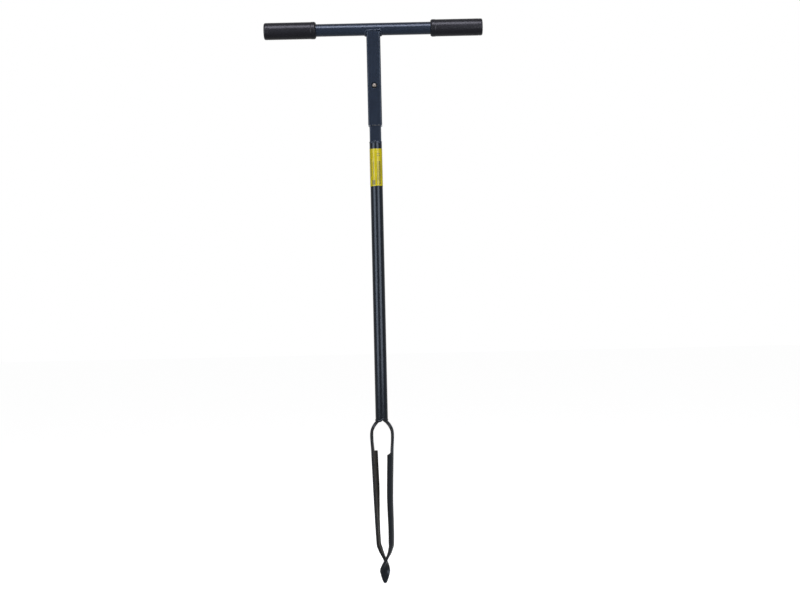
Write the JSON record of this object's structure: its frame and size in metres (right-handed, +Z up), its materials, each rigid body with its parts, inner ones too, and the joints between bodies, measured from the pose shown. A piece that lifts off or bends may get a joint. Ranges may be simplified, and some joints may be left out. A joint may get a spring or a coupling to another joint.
{
  "type": "soil auger",
  "caption": "Hand soil auger: T-handle on a square socket, sprung lock button, tubular shaft, open bent-blade bit with a twisted leaf point.",
  "frame": {"origin": "the tip of the leaf point, on the shaft's axis", "axes": "+Z up the shaft to the handle, +X along the crossbar to the right, -Y the side that the lock button faces"},
  "size_m": [0.473, 0.043, 1.2186],
  "materials": {
    "handle_paint": "satin blue-grey paint",
    "shaft_paint": "satin blue-black paint",
    "grip_rubber": "matt black",
    "label_film": "satin yellow film",
    "button_steel": "bright turned",
    "spring_steel": "plain"
  },
  "bodies": {
    "shaft": {"spigot_tube": "handle_paint", "spigot_weld": "handle_paint", "snap_spring": "spring_steel", "shaft_tube": "shaft_paint", "label": "label_film", "left_blade": "shaft_paint", "right_blade": "shaft_paint", "yoke_weld_left": "shaft_paint", "yoke_weld_right": "shaft_paint", "yoke_weld_front": "shaft_paint", "yoke_weld_back": "shaft_paint", "point_weld": "shaft_paint"},
    "handle": {"crossbar": "handle_paint", "left_grip": "grip_rubber", "right_grip": "grip_rubber", "socket_tube": "handle_paint", "handle_weld_front": "handle_paint", "handle_weld_back": "handle_paint", "handle_weld_left": "handle_paint", "handle_weld_right": "handle_paint"},
    "button": {"snap_button": "button_steel"}
  },
  "joints": [
    {"name": "button_press", "type": "slide", "parent": "shaft", "child": "button", "axis": [0, 1, 0], "range_m": [0, 0.005], "stiffness_N_per_m": 2000, "springref_m": -0.004, "deforming": ["snap_spring"]},
    {"name": "handle_play", "type": "slide", "parent": "shaft", "child": "handle", "axis": [0, 0, 1], "range_m": [0, 0.0011]}
  ]
}
